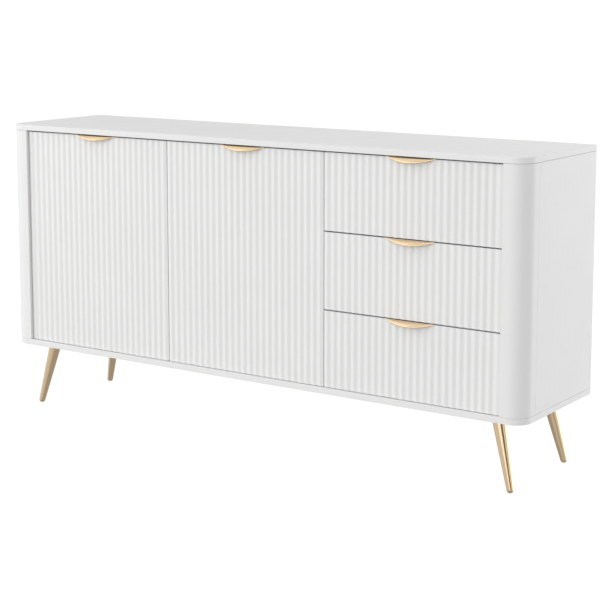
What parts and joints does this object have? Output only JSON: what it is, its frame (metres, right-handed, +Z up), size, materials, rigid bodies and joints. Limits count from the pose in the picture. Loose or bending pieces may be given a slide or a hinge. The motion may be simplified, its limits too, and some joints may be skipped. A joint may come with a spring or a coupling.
{
  "type": "sideboard buffet",
  "caption": "Low white sideboard with fluted doors and drawers, rounded front corners, half-moon edge pulls and splayed tapered metal legs.",
  "frame": {"origin": "on the floor, under the middle of the whole object's box", "axes": "+Z up, the fronts face -Y, +X to the right of someone who faces them"},
  "size_m": [1.67, 0.399, 0.836],
  "materials": {
    "white_lacquer": "matt white lacquer on MDF",
    "inner_board": "white melamine on particleboard",
    "sheet_board": "white-faced hardboard",
    "gold_metal": "polished gold plating on steel",
    "steel": "zinc plated"
  },
  "bodies": {
    "cabinet": {"top_panel": "white_lacquer", "bottom_panel": "white_lacquer", "left_side_panel": "white_lacquer", "right_side_panel": "white_lacquer", "left_corner_post": "white_lacquer", "right_corner_post": "white_lacquer", "left_inner_panel": "inner_board", "right_inner_panel": "inner_board", "left_divider": "inner_board", "right_divider": "inner_board", "back_panel": "sheet_board", "left_shelf": "inner_board", "middle_shelf": "inner_board", "front_left_leg": "gold_metal", "front_right_leg": "gold_metal", "rear_left_leg": "gold_metal", "rear_right_leg": "gold_metal", "left_door_upper_hinge_arm": "steel", "left_door_lower_hinge_arm": "steel", "middle_door_upper_hinge_arm": "steel", "middle_door_lower_hinge_arm": "steel", "bottom_drawer_left_cabinet_runner": "steel", "bottom_drawer_right_cabinet_runner": "steel", "middle_drawer_left_cabinet_runner": "steel", "middle_drawer_right_cabinet_runner": "steel", "top_drawer_left_cabinet_runner": "steel", "top_drawer_right_cabinet_runner": "steel"},
    "left_door": {"left_door": "white_lacquer", "left_door_pull": "gold_metal", "left_door_upper_hinge_cup": "steel", "left_door_lower_hinge_cup": "steel"},
    "middle_door": {"middle_door": "white_lacquer", "middle_door_pull": "gold_metal", "middle_door_upper_hinge_cup": "steel", "middle_door_lower_hinge_cup": "steel"},
    "bottom_drawer": {"bottom_drawer_front": "white_lacquer", "bottom_drawer_pull": "gold_metal", "bottom_drawer_left_side": "inner_board", "bottom_drawer_right_side": "inner_board", "bottom_drawer_back": "inner_board", "bottom_drawer_bottom": "sheet_board", "bottom_drawer_left_runner": "steel", "bottom_drawer_right_runner": "steel"},
    "middle_drawer": {"middle_drawer_front": "white_lacquer", "middle_drawer_pull": "gold_metal", "middle_drawer_left_side": "inner_board", "middle_drawer_right_side": "inner_board", "middle_drawer_back": "inner_board", "middle_drawer_bottom": "sheet_board", "middle_drawer_left_runner": "steel", "middle_drawer_right_runner": "steel"},
    "top_drawer": {"top_drawer_front": "white_lacquer", "top_drawer_pull": "gold_metal", "top_drawer_left_side": "inner_board", "top_drawer_right_side": "inner_board", "top_drawer_back": "inner_board", "top_drawer_bottom": "sheet_board", "top_drawer_left_runner": "steel", "top_drawer_right_runner": "steel"}
  },
  "joints": [
    {"name": "left_door_hinge", "type": "hinge", "parent": "cabinet", "child": "left_door", "pos_m": [-0.769, -0.1845, 0.511], "axis": [0, 0, -1], "range_deg": [0, 95]},
    {"name": "middle_door_hinge", "type": "hinge", "parent": "cabinet", "child": "middle_door", "pos_m": [-0.25567, -0.1845, 0.511], "axis": [0, 0, -1], "range_deg": [0, 95]},
    {"name": "bottom_drawer_slide", "type": "slide", "parent": "cabinet", "child": "bottom_drawer", "axis": [0, -1, 0], "range_m": [0, 0.25]},
    {"name": "middle_drawer_slide", "type": "slide", "parent": "cabinet", "child": "middle_drawer", "axis": [0, -1, 0], "range_m": [0, 0.25]},
    {"name": "top_drawer_slide", "type": "slide", "parent": "cabinet", "child": "top_drawer", "axis": [0, -1, 0], "range_m": [0, 0.25]}
  ]
}
